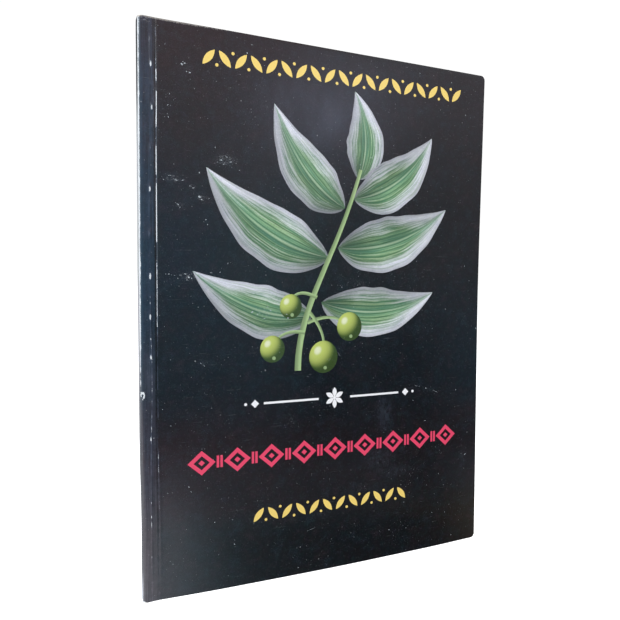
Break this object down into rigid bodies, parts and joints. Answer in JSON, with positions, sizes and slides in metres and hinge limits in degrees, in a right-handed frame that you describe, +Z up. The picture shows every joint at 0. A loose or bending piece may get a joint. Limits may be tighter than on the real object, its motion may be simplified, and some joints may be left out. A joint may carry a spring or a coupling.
{
  "type": "softcover book",
  "caption": "Softcover booklet standing on its tail edge: a glossy scored card cover whose panels swing open on their creases, round side-sewn leaves glued at the spine.",
  "frame": {"origin": "centre of the footprint, on the plane of the tail edge that the booklet stands on", "axes": "+Z up the height of the pages, -Y out of the front cover, -X out of the spine"},
  "size_m": [0.148, 0.0248, 0.21],
  "materials": {
    "cover_card": "gloss",
    "leaf_paper": "matte",
    "adhesive": "satin",
    "thread": "matte"
  },
  "bodies": {
    "text_block": {"spine_wrap": "cover_card", "spine_adhesive": "adhesive", "front_sewing_thread": "thread", "back_sewing_thread": "thread", "leaf_01": "leaf_paper", "leaf_02": "leaf_paper", "leaf_03": "leaf_paper", "leaf_04": "leaf_paper", "leaf_05": "leaf_paper", "leaf_06": "leaf_paper", "leaf_07": "leaf_paper", "leaf_08": "leaf_paper", "leaf_09": "leaf_paper", "leaf_10": "leaf_paper", "leaf_11": "leaf_paper", "leaf_12": "leaf_paper", "leaf_13": "leaf_paper", "leaf_14": "leaf_paper", "leaf_15": "leaf_paper", "leaf_16": "leaf_paper", "leaf_17": "leaf_paper", "leaf_18": "leaf_paper", "leaf_19": "leaf_paper", "leaf_20": "leaf_paper", "leaf_21": "leaf_paper", "leaf_22": "leaf_paper", "leaf_23": "leaf_paper", "leaf_24": "leaf_paper", "leaf_25": "leaf_paper", "leaf_26": "leaf_paper", "leaf_27": "leaf_paper", "leaf_28": "leaf_paper"},
    "front_cover": {"front_cover": "cover_card"},
    "back_cover": {"back_cover": "cover_card"}
  },
  "joints": [
    {"name": "front_cover_hinge", "type": "hinge", "parent": "text_block", "child": "front_cover", "pos_m": [-0.0683, -0.00499, 0], "axis": [0, 0, -1], "range_deg": [-2.6, 172]},
    {"name": "back_cover_hinge", "type": "hinge", "parent": "text_block", "child": "back_cover", "pos_m": [-0.0683, 0.00003, 0], "axis": [0, 0, 1], "range_deg": [-4.6, 172]}
  ]
}
